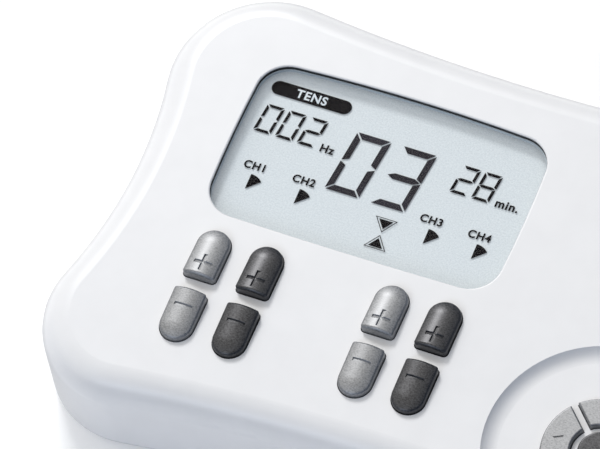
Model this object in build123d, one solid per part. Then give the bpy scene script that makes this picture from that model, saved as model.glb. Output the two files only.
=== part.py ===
from build123d import *
import os
from math import hypot, sqrt

# A four-channel TENS unit lying on its back: +X to the user's right, +Y to the rear, +Z up.
# The origin is the middle of the footprint, on the surface that the feet stand on. Sizes in mm.

# ---- case outline: four round lobes joined by hollow sides
FRONT_WIDTH = 193.0
REAR_WIDTH = 186.8
CASE_DEPTH = 125.8
FRONT_LOBE_R = 24.0
REAR_LOBE_R = 26.8
FRONT_HOLLOW_R = 560.0
REAR_HOLLOW_R = 559.0
SIDE_HOLLOW_R = 125.0

# ---- heights
FOOT_HEIGHT = 1.0
FACE_Z = 31.0
SPLIT_Z = 7.0
WALL = 2.2
FLOOR_THICK = 1.8
FACE_EDGE_R = 8.0
BASE_EDGE_R = 3.0
RIM_HEIGHT = 2.0
RIM_THICK = 1.2

# ---- clearances
SLIDE_GAP = 0.25
FIT_GAP = 0.15
SMALL_GAP = 0.1
SCREW_GAP = 0.05

# ---- display
WINDOW_LEFT = 68.15
WINDOW_REAR_IN = 19.85
WINDOW_WIDTH = 81.4
WINDOW_DEPTH = 48.1
WINDOW_CORNER_R = 8.5
BOW_REAR = 1.5
BOW_FRONT = 0.5
BOW_SIDE = 0.8
WINDOW_EDGE_R = 0.5
TRIM_THICK = 0.3
TRIM_DEPTH = 1.4
LENS_THICK = 0.9
LENS_LAP = 2.4
LENS_CORNER_R = 6.0
BEZEL_LAP = 3.4
BEZEL_WALL = 1.6
BEZEL_LIP = 0.4
BEZEL_SIGHT_LAP = 1.2
LCD_THICK = 2.2
STRIP_WIDTH = 1.6

# ---- channel keys: four columns in two groups, a plus key behind a minus key
KEY_WIDTH = 8.95
KEY_LENGTH = 14.6
KEY_INNER_X = 17.4
KEY_COLUMN_GAP = 5.75
KEY_ROW_GAP = 4.1
KEY_WINDOW_GAP = 5.3
KEY_RISE = 3.4
KEY_SLOPE = 3.2
KEY_CROWN_R = 9.0
KEY_FLAT_CORNER_R = 1.1
KEY_TRAVEL = 0.8
FLANGE_LAP = 0.9
FLANGE_THICK = 1.2
STEM_R = 2.2
STEM_DROP = 0.6
SYMBOL_LENGTH = 4.4
SYMBOL_STROKE = 1.0
SYMBOL_DEPTH = 0.5
SYMBOL_FROM_END = 4.2

# ---- dish and the direction keys in it
DISH_X = 55.5
DISH_Y = -37.0
DISH_R = 30.0
DISH_DEPTH = 2.0
DISH_COVE = 4.0
DISH_WALL = 1.8
RING_OUTER_R = 15.0
RING_INNER_R = 7.5
RING_GAP = 2.0
ENTER_R = 5.5
DIRECTION_RISE = 1.8
DIRECTION_TRAVEL = 0.6
DIRECTION_LAP = 0.6
DIRECTION_EDGE_R = 0.5
ARROW_SIZE = 2.6
ARROW_DEPTH = 0.3

# ---- keys beside the display
POWER_X = 57.0
POWER_Y = 32.0
POWER_R = 5.5
PILL_WIDTH = 13.0
PILL_DEPTH = 7.0
PILL_X = 11.5
PILL_Y = 8.0
SIDE_KEY_RISE = 1.8

# ---- circuit board and what it carries
BOARD_MARGIN_X = 12.3
BOARD_MARGIN_Y = 8.0
BOARD_THICK = 1.6
BOARD_DROP = 6.0
MAT_THICK = 1.0
MAT_MARGIN = 3.0
DOME_R = 3.1
DOME_TOP_R = 2.0
DOME_WALL = 0.7
PILL_CONTACT_R = 1.2
PILL_CONTACT_HEIGHT = 0.5
POST_R = 3.0
POST_INSET = 4.1
POST_REAR_Y = 17.0
POST_FRONT_Y = -17.0
BOARD_SCREW_R = 1.0
BOARD_SCREW_HEAD_R = 2.0
BOARD_SCREW_LENGTH = 6.0
BOARD_SCREW_HEAD = 1.6
TRANSFORMER = (14.0, 13.0, 12.0)
TRANSFORMER_CORE = (9.0, 16.0, 9.0)
TRANSFORMER_PITCH = 21.0
TRANSFORMER_Y = 22.0
CHIP = (12.0, 12.0, 1.6)
CHIP_PLACE = (60.0, 4.0)
CAPACITOR_R = 4.0
CAPACITOR_EDGE_R = 0.7
CAPACITOR_HEIGHT = 10.0
CAPACITOR_X = (52.0, 62.0)
CAPACITOR_Y = -18.0
BUZZER_R = 6.0
BUZZER_HEIGHT = 5.5
BUZZER_HOLE_R = 1.0
BUZZER_PLACE = (-58.0, -12.0)

# ---- case screws and feet
BOSS_R = 3.5
BOSS_INSET_X = 16.4
BOSS_REAR_IN = 28.3
BOSS_FRONT_IN = 28.3
PILLAR_R = 4.6
SCREW_R = 1.4
SCREW_LENGTH = 14.0
SCREW_HEAD_R = 2.8
SCREW_HEAD = 2.0
SCREW_SEAT = 3.0
HEAD_GAP = 0.3
DRIVE_LENGTH = 2.8
DRIVE_WIDTH = 0.7
DRIVE_DEPTH = 1.0
HEAD_EDGE_R = 0.4
FOOT_R = 5.5
FOOT_RECESS = 0.6
FOOT_INSET_X = 33.0
FOOT_REAR_IN = 18.0
FOOT_FRONT_IN = 16.0
FOOT_EDGE_R = 0.4

# ---- output sockets in the rear wall
SOCKET_COUNT = 4
SOCKET_PITCH = 16.0
SOCKET_Z = 16.0
SOCKET_WIDTH = 10.0
SOCKET_NOSE_R = 4.0
SOCKET_BORE_R = 1.8
SOCKET_BORE_LENGTH = 13.6
SOCKET_PROUD = 1.1
SOCKET_BLOCK = 11.8

# ---- batteries, their well and the sliding cover
CELL_COUNT = 3
CELL_R = 7.1
CELL_EDGE_R = 0.7
CELL_LENGTH = 50.5
CELL_NUB_R = 2.75
CELL_NUB = 1.3
CELL_PITCH = 15.0
CELL_ROW_Y = -24.5
CELL_LIFT = 0.25
WELL_WALL = 1.8
WELL_ROOF = 1.3
WELL_END_GAP = 1.5
SPRING_LENGTH = 7.5
SPRING_WIDTH = 6.0
CONTACT_THICK = 0.5
COVER_RIM = 2.0
COVER_TRAVEL = 12.0
COVER_FLANGE_THICK = 1.0
TONGUE_LENGTH = 8.0
TONGUE_REACH = 2.3
TONGUE_SPACING = 28.0
GRIP_COUNT = 5
GRIP_PITCH = 2.4
GRIP_WIDTH = 1.0
GRIP_LENGTH = 20.0
GRIP_DEPTH = 0.5

# ---- worked out from the above
BASE_Z = FOOT_HEIGHT
FLOOR_Z = BASE_Z + FLOOR_THICK
CEILING_Z = FACE_Z - WALL
DISH_FLOOR_Z = FACE_Z - DISH_DEPTH
DISH_CEILING_Z = DISH_FLOOR_Z - DISH_WALL
BOARD_TOP = CEILING_Z - BOARD_DROP
BOARD_BOTTOM = BOARD_TOP - BOARD_THICK
MAT_TOP = BOARD_TOP + MAT_THICK
COVER_TOP = FLOOR_Z + SMALL_GAP + COVER_FLANGE_THICK
CELL_Z = COVER_TOP + CELL_LIFT + CELL_R
WELL_CEILING = CELL_Z + CELL_R + FIT_GAP
WELL_TOP = WELL_CEILING + WELL_ROOF
LENS_BOTTOM = CEILING_Z - LENS_THICK
LCD_TOP = LENS_BOTTOM - BEZEL_LIP - SMALL_GAP
LCD_BOTTOM = LCD_TOP - LCD_THICK
REAR_LOBE_X = REAR_WIDTH / 2 - REAR_LOBE_R
REAR_LOBE_Y = CASE_DEPTH / 2 - REAR_LOBE_R
FRONT_LOBE_X = FRONT_WIDTH / 2 - FRONT_LOBE_R
FRONT_LOBE_Y = FRONT_LOBE_R - CASE_DEPTH / 2
BOSS_X = REAR_WIDTH / 2 - BOSS_INSET_X
BOSS_Y = (CASE_DEPTH / 2 - BOSS_REAR_IN, BOSS_FRONT_IN - CASE_DEPTH / 2)
FOOT_X = REAR_WIDTH / 2 - FOOT_INSET_X
FOOT_Y = (CASE_DEPTH / 2 - FOOT_REAR_IN, FOOT_FRONT_IN - CASE_DEPTH / 2)
BOARD_LENGTH = min(FRONT_WIDTH, REAR_WIDTH) - 2 * BOARD_MARGIN_X
BOARD_DEPTH = CASE_DEPTH - 2 * BOARD_MARGIN_Y - 2 * WALL
POST_X = BOARD_LENGTH / 2 - POST_INSET
WINDOW_X = WINDOW_WIDTH / 2 - WINDOW_LEFT
WINDOW_Y = CASE_DEPTH / 2 - WINDOW_REAR_IN - WINDOW_DEPTH / 2
KEY_GROUP_X = WINDOW_X
KEY_OUTER_X = KEY_INNER_X + KEY_WIDTH + KEY_COLUMN_GAP
KEY_PITCH_Y = KEY_LENGTH + KEY_ROW_GAP
KEY_ROW_Y = WINDOW_Y - WINDOW_DEPTH / 2 - KEY_WINDOW_GAP - KEY_LENGTH - KEY_ROW_GAP / 2
WELL_X = CELL_LENGTH / 2 + SPRING_LENGTH / 2 + CONTACT_THICK + WELL_END_GAP / 2
WELL_REAR = CELL_ROW_Y + CELL_PITCH * CELL_COUNT / 2 + SLIDE_GAP
WELL_FRONT = CELL_ROW_Y - CELL_PITCH * CELL_COUNT / 2 - SLIDE_GAP
COVER_X = WELL_X + COVER_RIM
COVER_REAR = WELL_REAR + COVER_RIM
CELL_TIP = WELL_X - CONTACT_THICK - WELL_END_GAP
CELL_TAIL = CELL_TIP - CELL_LENGTH
FAR = 400.0


def slab(x0, x1, y0, y1, z0, z1):
    """Box between two corners."""
    size = Box(x1 - x0, y1 - y0, z1 - z0)
    return Pos((x0 + x1) / 2, (y0 + y1) / 2, (z0 + z1) / 2) * size


def post(x, y, z0, z1, r):
    """Upright cylinder from z0 to z1."""
    return Pos(x, y, (z0 + z1) / 2) * Cylinder(r, z1 - z0)


def prism(sketch, z0, z1):
    """A flat outline carried up from z0 to z1."""
    return Pos(0, 0, z0) * extrude(sketch, amount=z1 - z0)


def together(pieces):
    """Several solids joined into one."""
    joined = pieces[0]
    for piece in pieces[1:]:
        joined = joined + piece
    return joined


def group(pieces):
    """Several separate solids kept apart in one node."""
    return Compound(children=[piece.solid() for piece in pieces])


def towards(a, b):
    """Unit direction from point a to point b."""
    span = hypot(b[0] - a[0], b[1] - a[1])
    return ((b[0] - a[0]) / span, (b[1] - a[1]) / span)


def along(a, direction, distance):
    """The point at a distance from a."""
    return (a[0] + distance * direction[0], a[1] + distance * direction[1])


def hollow_centre(a, ra, b, rb, hollow_r):
    """Centre of the circle that touches lobes a and b from outside, right of the way a to b."""
    near = hollow_r + ra
    far = hollow_r + rb
    span = hypot(b[0] - a[0], b[1] - a[1])
    run = (near**2 - far**2 + span**2) / (2 * span)
    off = sqrt(near**2 - run**2)
    way = towards(a, b)
    return (a[0] + run * way[0] + off * way[1], a[1] + run * way[1] - off * way[0])


def case_outline(inset=0.0):
    """The case's plan outline, drawn in by inset: eight arcs, each tangent to the next."""
    lobes = [
        ((-FRONT_LOBE_X, FRONT_LOBE_Y), FRONT_LOBE_R, FRONT_HOLLOW_R),
        ((FRONT_LOBE_X, FRONT_LOBE_Y), FRONT_LOBE_R, SIDE_HOLLOW_R),
        ((REAR_LOBE_X, REAR_LOBE_Y), REAR_LOBE_R, REAR_HOLLOW_R),
        ((-REAR_LOBE_X, REAR_LOBE_Y), REAR_LOBE_R, SIDE_HOLLOW_R),
    ]
    count = len(lobes)
    hollows = []
    for i, (a, ra, hollow_r) in enumerate(lobes):
        b, rb, _ = lobes[(i + 1) % count]
        hollows.append(hollow_centre(a, ra, b, rb, hollow_r))
    arcs = []
    for i, (a, ra, hollow_r) in enumerate(lobes):
        b, rb, _ = lobes[(i + 1) % count]
        into = towards(a, hollows[i - 1])
        out = towards(a, hollows[i])
        corner = towards((0, 0), (into[0] + out[0], into[1] + out[1]))
        start = along(a, into, ra - inset)
        end = along(a, out, ra - inset)
        arcs.append(ThreePointArc(start, along(a, corner, ra - inset), end))
        landing = along(b, towards(b, hollows[i]), rb - inset)
        middle = ((end[0] + landing[0]) / 2, (end[1] + landing[1]) / 2)
        inward = towards(hollows[i], middle)
        arcs.append(ThreePointArc(end, along(hollows[i], inward, hollow_r + inset), landing))
    return make_face(Wire(arcs))


def window_outline(inset=0.0):
    """The display window, drawn in by inset: a rounded rectangle whose four sides bow outwards."""
    x = WINDOW_WIDTH / 2 - BOW_SIDE - inset
    y = (WINDOW_DEPTH - BOW_FRONT - BOW_REAR) / 2 - inset
    shift = (BOW_FRONT - BOW_REAR) / 2
    sides = [
        ThreePointArc((-x, -y), (0, -y - BOW_FRONT), (x, -y)),
        ThreePointArc((x, -y), (x + BOW_SIDE, 0), (x, y)),
        ThreePointArc((x, y), (0, y + BOW_REAR), (-x, y)),
        ThreePointArc((-x, y), (-x - BOW_SIDE, 0), (-x, -y)),
    ]
    face = make_face(Wire(sides))
    face = fillet(face.vertices(), WINDOW_CORNER_R - inset)
    return Pos(WINDOW_X, WINDOW_Y + shift) * face


def display_plate(lap, corner, z0, z1):
    """A rounded plate that reaches past the window by lap on every side."""
    plate = RectangleRounded(WINDOW_WIDTH + 2 * lap, WINDOW_DEPTH + 2 * lap, corner)
    return prism(Pos(WINDOW_X, WINDOW_Y) * plate, z0, z1)


# ---- key outlines, each drawn about its own centre; grow widens them all round
def channel_key_outline(grow=0.0):
    """Round at the rear end, flat at the front end."""
    r = KEY_WIDTH / 2 + grow
    flat = -KEY_LENGTH / 2 - grow
    turn = KEY_LENGTH / 2 - KEY_WIDTH / 2
    block = Pos(0, (turn + flat) / 2) * Rectangle(2 * r, turn - flat)
    block = fillet(block.vertices().group_by(Axis.Y)[0], KEY_FLAT_CORNER_R + grow)
    return block + Pos(0, turn) * Circle(r)


def ring_outline(grow=0.0):
    """A quarter of the direction ring, the one on the +X side."""
    tip = (RING_GAP / 2 - grow) * sqrt(2)
    reach = RING_OUTER_R + 2 * RING_GAP
    wedge = make_face(Polyline((tip, 0), (tip + reach, -reach), (tip + reach, reach), (tip, 0)))
    return (Circle(RING_OUTER_R + grow) - Circle(RING_INNER_R - grow)) & wedge


def enter_outline(grow=0.0):
    return Circle(ENTER_R + grow)


def power_outline(grow=0.0):
    return Circle(POWER_R + grow)


def pill_outline(grow=0.0):
    return SlotOverall(PILL_WIDTH + 2 * grow, PILL_DEPTH + 2 * grow)


def arrow(size):
    """Triangle that points along +X, centred on the origin."""
    half = size / 2
    return make_face(Polyline((-half, -half), (half, 0), (-half, half), (-half, -half)))


def bar(x_length, y_length):
    return Rectangle(x_length, y_length)


# ---- the keys: name, outline, place, turn, whether it stands in the dish
channel_keys = []
columns = (-KEY_OUTER_X, -KEY_INNER_X, KEY_INNER_X, KEY_OUTER_X)
for channel, column in enumerate(columns, start=1):
    place = KEY_GROUP_X + column
    channel_keys.append((f"channel_{channel}_plus_key", place, KEY_ROW_Y + KEY_PITCH_Y / 2, 0))
    channel_keys.append((f"channel_{channel}_minus_key", place, KEY_ROW_Y - KEY_PITCH_Y / 2, 180))

direction_keys = [("right_key", 0), ("up_key", 90), ("left_key", 180), ("down_key", 270)]
side_keys = [
    ("power_key", power_outline, POWER_X, POWER_Y),
    ("menu_key", pill_outline, POWER_X - PILL_X, PILL_Y),
    ("stop_key", pill_outline, POWER_X + PILL_X, PILL_Y),
]


def key_place(x, y, turn):
    return Pos(x, y) * Rot(0, 0, turn)


def every_key_outline(grow):
    """The keys' outlines on the plain face, then those in the dish."""
    plain = [key_place(x, y, turn) * channel_key_outline(grow) for _, x, y, turn in channel_keys]
    plain += [Pos(x, y) * outline(grow) for _, outline, x, y in side_keys]
    dished = [key_place(DISH_X, DISH_Y, turn) * ring_outline(grow) for _, turn in direction_keys]
    dished.append(Pos(DISH_X, DISH_Y) * enter_outline(grow))
    return plain, dished


def dish_cutter():
    """The dish: a flat round floor that turns up through a cove to the rim."""
    floor_r = DISH_R - DISH_COVE
    cove_r = (DISH_COVE**2 + DISH_DEPTH**2) / (2 * DISH_DEPTH)
    half_run = DISH_COVE / 2
    lift = cove_r - sqrt(cove_r**2 - half_run**2)
    section = [
        Line((0, DISH_FLOOR_Z), (floor_r, DISH_FLOOR_Z)),
        ThreePointArc(
            (floor_r, DISH_FLOOR_Z), (floor_r + half_run, DISH_FLOOR_Z + lift), (DISH_R, FACE_Z)
        ),
        Line((DISH_R, FACE_Z), (DISH_R, FAR)),
        Line((DISH_R, FAR), (0, FAR)),
        Line((0, FAR), (0, DISH_FLOOR_Z)),
    ]
    face = Plane.XZ * make_face(Wire(section))
    return Pos(DISH_X, DISH_Y) * revolve(face, Axis.Z)


# ---- shells
def case_block(z0, z1, inset):
    return prism(case_outline(inset), z0, z1)


def screw_places():
    return [(side * BOSS_X, y) for y in BOSS_Y for side in (-1, 1)]


def foot_places():
    return [(side * FOOT_X, y) for y in FOOT_Y for side in (-1, 1)]


def board_posts():
    return [(side * POST_X, y) for y in (POST_REAR_Y, POST_FRONT_Y) for side in (-1, 1)]


def socket_xs():
    return [(i - (SOCKET_COUNT - 1) / 2) * SOCKET_PITCH for i in range(SOCKET_COUNT)]


def rear_wall_y():
    """Where the rear wall's outer face is nearest the middle, at X = 0."""
    near = REAR_HOLLOW_R + REAR_LOBE_R
    return REAR_LOBE_Y + sqrt(near**2 - REAR_LOBE_X**2) - REAR_HOLLOW_R


def front_shell():
    outer = case_block(SPLIT_Z, FACE_Z, 0)
    outer = fillet(outer.faces().sort_by(Axis.Z)[-1].edges(), FACE_EDGE_R)
    hollow = case_block(SPLIT_Z, CEILING_Z, WALL)
    hollow = fillet(hollow.faces().sort_by(Axis.Z)[-1].edges(), FACE_EDGE_R - WALL)
    pad = post(DISH_X, DISH_Y, DISH_CEILING_Z, CEILING_Z, DISH_R + WALL)
    shell = outer - (hollow - pad)
    shell = shell - prism(window_outline(), CEILING_Z - WALL, FACE_Z + WALL)
    face = shell.faces().sort_by(Axis.Z)[-1]
    shell = fillet(face.inner_wires()[0].edges(), WINDOW_EDGE_R)
    shell = shell - dish_cutter()
    plain, dished = every_key_outline(SLIDE_GAP)
    for outline in plain:
        shell = shell - prism(outline, CEILING_Z - WALL, FACE_Z + WALL)
    for outline in dished:
        shell = shell - prism(outline, DISH_CEILING_Z - WALL, FACE_Z + WALL)
    for x, y in screw_places():
        shell = shell + post(x, y, SPLIT_Z + RIM_HEIGHT, CEILING_Z, BOSS_R)
        hole_top = SPLIT_Z + RIM_HEIGHT + SCREW_LENGTH
        shell = shell - post(x, y, SPLIT_Z, hole_top, SCREW_R + SCREW_GAP)
    for x, y in board_posts():
        shell = shell + post(x, y, BOARD_TOP, CEILING_Z, POST_R)
        shell = shell - post(x, y, BOARD_TOP, BOARD_TOP + BOARD_SCREW_LENGTH - BOARD_THICK,
                             BOARD_SCREW_R + SCREW_GAP)
    wall_y = rear_wall_y()
    for x in socket_xs():
        hole = Rot(90, 0, 0) * Cylinder(SOCKET_NOSE_R + FIT_GAP, 4 * WALL)
        shell = shell - Pos(x, wall_y, SOCKET_Z) * hole
    return shell


def tray():
    """The rear shell's own skin: floor, round lower edge and low wall."""
    outer = case_block(BASE_Z, SPLIT_Z, 0)
    outer = fillet(outer.faces().sort_by(Axis.Z)[0].edges(), BASE_EDGE_R)
    hollow = case_block(FLOOR_Z, SPLIT_Z, WALL)
    return outer - hollow


def tongue_ys():
    middle = CELL_ROW_Y + COVER_TRAVEL / 2
    return (middle - TONGUE_SPACING / 2, middle + TONGUE_SPACING / 2)


def rear_shell():
    shell = tray()
    rim_outer = WALL + FIT_GAP
    rim = case_block(SPLIT_Z, SPLIT_Z + RIM_HEIGHT - FIT_GAP, rim_outer)
    rim = rim - case_block(SPLIT_Z, SPLIT_Z + RIM_HEIGHT, rim_outer + RIM_THICK)
    foot_of_rim = case_block(FLOOR_Z, SPLIT_Z, WALL)
    foot_of_rim = foot_of_rim - case_block(FLOOR_Z, SPLIT_Z, rim_outer + RIM_THICK)
    shell = shell + foot_of_rim + rim
    well_base = COVER_X + SLIDE_GAP + TONGUE_REACH
    shell = shell + slab(-well_base - WELL_WALL, well_base + WELL_WALL,
                         WELL_FRONT - WELL_WALL, COVER_REAR + SLIDE_GAP + WELL_WALL,
                         FLOOR_Z, COVER_TOP + SMALL_GAP + WELL_WALL)
    shell = shell + slab(-WELL_X - WELL_WALL, WELL_X + WELL_WALL,
                         WELL_FRONT - WELL_WALL, WELL_REAR + WELL_WALL, FLOOR_Z, WELL_TOP)
    shell = shell - slab(-WELL_X, WELL_X, WELL_FRONT, WELL_REAR, FLOOR_Z, WELL_CEILING)
    gap_x = COVER_X + SLIDE_GAP
    gap_rear = COVER_REAR + SLIDE_GAP
    shell = shell - slab(-gap_x, gap_x, -FAR, gap_rear, BASE_Z, COVER_TOP + SMALL_GAP)
    front_gap = WELL_FRONT - WELL_WALL - SLIDE_GAP
    shell = shell - slab(-gap_x, gap_x, -FAR, front_gap, BASE_Z, SPLIT_Z + RIM_HEIGHT)
    for y in tongue_ys():
        reach = gap_x + TONGUE_REACH
        y0 = y - TONGUE_LENGTH / 2 - SLIDE_GAP
        y1 = y + TONGUE_LENGTH / 2 + SLIDE_GAP
        shell = shell - slab(-reach, reach, y0 - COVER_TRAVEL, y1, FLOOR_Z, COVER_TOP + SMALL_GAP)
        shell = shell - slab(-reach, reach, y0 - COVER_TRAVEL, y1 - COVER_TRAVEL,
                             BASE_Z, COVER_TOP + SMALL_GAP)
    for x, y in screw_places():
        shell = shell + post(x, y, FLOOR_Z - FLOOR_THICK / 2, SPLIT_Z + RIM_HEIGHT, PILLAR_R)
        shell = shell - post(x, y, BASE_Z, BASE_Z + SCREW_SEAT, SCREW_HEAD_R + HEAD_GAP)
        shell = shell - post(x, y, BASE_Z, SPLIT_Z + RIM_HEIGHT, SCREW_R + FIT_GAP)
    for x, y in foot_places():
        shell = shell - post(x, y, BASE_Z, BASE_Z + FOOT_RECESS, FOOT_R)
    return shell


def battery_cover():
    """Plate in the floor's opening, with the wall's lip in front and tongues over the floor's edge."""
    keep = slab(-COVER_X, COVER_X, -FAR, COVER_REAR, BASE_Z, SPLIT_Z - SLIDE_GAP)
    plate = tray() & keep
    front = WELL_FRONT - WELL_WALL
    plate = plate + slab(-COVER_X, COVER_X, front, COVER_REAR, FLOOR_Z - SMALL_GAP, COVER_TOP)
    for y in tongue_ys():
        reach = COVER_X + TONGUE_REACH
        plate = plate + slab(-reach, reach, y - TONGUE_LENGTH / 2, y + TONGUE_LENGTH / 2,
                             FLOOR_Z + SMALL_GAP, COVER_TOP)
    for i in range(GRIP_COUNT):
        y = CELL_ROW_Y + (i - (GRIP_COUNT - 1) / 2) * GRIP_PITCH
        plate = plate - slab(-GRIP_LENGTH / 2, GRIP_LENGTH / 2, y - GRIP_WIDTH / 2,
                             y + GRIP_WIDTH / 2, BASE_Z, BASE_Z + GRIP_DEPTH)
    return plate


# ---- display stack
def window_trim():
    top = FACE_Z - TRIM_DEPTH
    ring = prism(window_outline(SCREW_GAP), CEILING_Z, top)
    return ring - prism(window_outline(TRIM_THICK), CEILING_Z, top)


def display_lens():
    return display_plate(LENS_LAP, LENS_CORNER_R, LENS_BOTTOM, CEILING_Z)


def lcd_size(inset):
    """Half sizes of a plate inside the bezel."""
    lap = BEZEL_LAP - BEZEL_WALL - inset
    return WINDOW_WIDTH / 2 + lap, WINDOW_DEPTH / 2 + lap


def display_slab(x, y0, y1, z0, z1):
    return slab(WINDOW_X - x, WINDOW_X + x, WINDOW_Y + y0, WINDOW_Y + y1, z0, z1)


def lcd_bezel():
    x, y = lcd_size(-FIT_GAP)
    frame = display_plate(BEZEL_LAP, BEZEL_WALL, BOARD_TOP, LENS_BOTTOM)
    frame = frame - display_slab(x, -y, y, BOARD_TOP, LENS_BOTTOM - BEZEL_LIP)
    sight_x = WINDOW_WIDTH / 2 + BEZEL_SIGHT_LAP
    sight_y = WINDOW_DEPTH / 2 + BEZEL_SIGHT_LAP
    return frame - display_slab(sight_x, -sight_y, sight_y, BOARD_TOP, LENS_BOTTOM)


def lcd_glass():
    x, y = lcd_size(0)
    return display_slab(x, -y, y, LCD_BOTTOM, LCD_TOP)


def lcd_backlight():
    x, y = lcd_size(0)
    y = y - STRIP_WIDTH - SLIDE_GAP
    return display_slab(x, -y, y, BOARD_TOP, LCD_BOTTOM)


def lcd_connector_strips():
    x, y = lcd_size(0)
    strips = [display_slab(x, y - STRIP_WIDTH, y, BOARD_TOP, LCD_BOTTOM)]
    strips.append(display_slab(x, -y, STRIP_WIDTH - y, BOARD_TOP, LCD_BOTTOM))
    return group(strips)


# ---- keys
def flanged(cap, outline, ceiling, lap, stem_drop):
    """A cap with the flange under the shell that holds it in, and the stem that presses the mat."""
    top = ceiling - SMALL_GAP
    bottom = top - FLANGE_THICK
    key = cap + prism(outline(lap), bottom, top)
    if stem_drop:
        key = key + post(0, 0, bottom - stem_drop, bottom, STEM_R)
    return key


def channel_key(plus):
    """Key cap with a round rear end, crowned across and rising to its flat front end."""
    crown_z = FACE_Z + KEY_RISE - KEY_CROWN_R
    blank = prism(channel_key_outline(), CEILING_Z - SMALL_GAP, FACE_Z + KEY_RISE)
    crown = Rot(90, 0, 0) * Cylinder(KEY_CROWN_R, 2 * KEY_LENGTH)
    crown = Pos(0, -KEY_LENGTH / 2, crown_z) * Rot(-KEY_SLOPE, 0, 0) * crown
    below = slab(-KEY_LENGTH, KEY_LENGTH, -KEY_LENGTH, KEY_LENGTH, 0, crown_z)
    cap = blank & (crown + below)
    symbol_y = SYMBOL_FROM_END - KEY_LENGTH / 2
    symbol = bar(SYMBOL_LENGTH, SYMBOL_STROKE)
    if plus:
        symbol = symbol + bar(SYMBOL_STROKE, SYMBOL_LENGTH)
    cut_z = FACE_Z + KEY_RISE - SYMBOL_DEPTH
    cap = cap - prism(Pos(0, symbol_y) * symbol, cut_z, FAR)
    return flanged(cap, channel_key_outline, CEILING_Z, FLANGE_LAP, STEM_DROP)


def direction_key():
    """A quarter ring with an arrow that points outwards."""
    top = DISH_FLOOR_Z + DIRECTION_RISE
    cap = prism(ring_outline(), DISH_CEILING_Z - SMALL_GAP, top)
    cap = fillet(cap.faces().sort_by(Axis.Z)[-1].edges(), DIRECTION_EDGE_R)
    middle = (RING_INNER_R + RING_OUTER_R) / 2
    cap = cap - prism(Pos(middle, 0) * arrow(ARROW_SIZE), top - ARROW_DEPTH, top + ARROW_DEPTH)
    return flanged(cap, ring_outline, DISH_CEILING_Z, DIRECTION_LAP, 0)


def round_top_key(outline, floor_z, ceiling, rise, lap, stem_drop):
    cap = prism(outline(), ceiling - SMALL_GAP, floor_z + rise)
    cap = fillet(cap.faces().sort_by(Axis.Z)[-1].edges(), DIRECTION_EDGE_R)
    return flanged(cap, outline, ceiling, lap, stem_drop)


# ---- board, mat and contacts
def dome_places():
    """Where each key presses the mat, and how high the dome may stand there."""
    plain_top = CEILING_Z - SMALL_GAP - FLANGE_THICK - STEM_DROP - KEY_TRAVEL - SMALL_GAP
    dish_top = DISH_CEILING_Z - SMALL_GAP - FLANGE_THICK - DIRECTION_TRAVEL - SMALL_GAP
    places = [(x, y, plain_top) for _, x, y, _ in channel_keys]
    places += [(x, y, plain_top) for _, _, x, y in side_keys]
    places.append((DISH_X, DISH_Y, dish_top))
    for _, turn in direction_keys:
        spot = key_place(DISH_X, DISH_Y, turn) * Pos((RING_INNER_R + RING_OUTER_R) / 2, 0)
        places.append((spot.position.X, spot.position.Y, dish_top))
    return places


def mat_fields():
    """The mat lies under the channel keys, the dish and the keys beside the display."""
    half_x = KEY_OUTER_X + KEY_WIDTH / 2 + MAT_MARGIN
    keys_rear = WINDOW_Y - WINDOW_DEPTH / 2 - BEZEL_LAP - SLIDE_GAP
    keys_front = KEY_ROW_Y - KEY_PITCH_Y / 2 - DOME_R - MAT_MARGIN
    display_right = WINDOW_X + WINDOW_WIDTH / 2 + BEZEL_LAP
    side_left = max(display_right + MAT_MARGIN, POWER_X - PILL_X - PILL_WIDTH / 2 - MAT_MARGIN)
    side_right = POWER_X + PILL_X + PILL_WIDTH / 2 - MAT_MARGIN
    dish_front = DISH_Y - RING_OUTER_R
    dish_right = DISH_X + RING_OUTER_R
    return [
        (KEY_GROUP_X - half_x, KEY_GROUP_X + half_x, keys_front, keys_rear),
        (KEY_GROUP_X + half_x - MAT_MARGIN, dish_right, dish_front, keys_rear),
        (side_left, side_right, keys_rear - MAT_MARGIN, POWER_Y + POWER_R),
    ]


def keypad_mat():
    mat = together([slab(x0, x1, y0, y1, BOARD_TOP, MAT_TOP) for x0, x1, y0, y1 in mat_fields()])
    for x, y, top in dome_places():
        height = top - MAT_TOP
        dome = Pos(x, y, MAT_TOP + height / 2) * Cone(DOME_R, DOME_TOP_R, height)
        mat = mat + dome
    for x, y, top in dome_places():
        mat = mat - post(x, y, BOARD_TOP, top - DOME_WALL, DOME_TOP_R - DOME_WALL / 2)
    return mat


def carbon_contacts():
    pills = []
    for x, y, top in dome_places():
        z = top - DOME_WALL
        pills.append(post(x, y, z - PILL_CONTACT_HEIGHT, z, PILL_CONTACT_R))
    return group(pills)


def main_board():
    board = RectangleRounded(BOARD_LENGTH, BOARD_DEPTH, PILLAR_R)
    board = prism(board, BOARD_BOTTOM, BOARD_TOP)
    for x, y in screw_places():
        board = board - post(x, y, BOARD_BOTTOM, BOARD_TOP, BOSS_R + SLIDE_GAP)
    for x, y in board_posts():
        board = board - post(x, y, BOARD_BOTTOM, BOARD_TOP, BOARD_SCREW_R + FIT_GAP)
    return board


def under_board(x, y, width, depth, height):
    """A block that hangs from the board's underside."""
    return slab(x - width / 2, x + width / 2, y - depth / 2, y + depth / 2,
                BOARD_BOTTOM - height, BOARD_BOTTOM)


def output_transformers():
    pieces = []
    for i in range(SOCKET_COUNT):
        x = (i - (SOCKET_COUNT - 1) / 2) * TRANSFORMER_PITCH
        coil = under_board(x, TRANSFORMER_Y, *TRANSFORMER)
        pieces.append(coil + under_board(x, TRANSFORMER_Y, *TRANSFORMER_CORE))
    return group(pieces)


def microcontroller():
    return under_board(*CHIP_PLACE, *CHIP)


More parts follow.
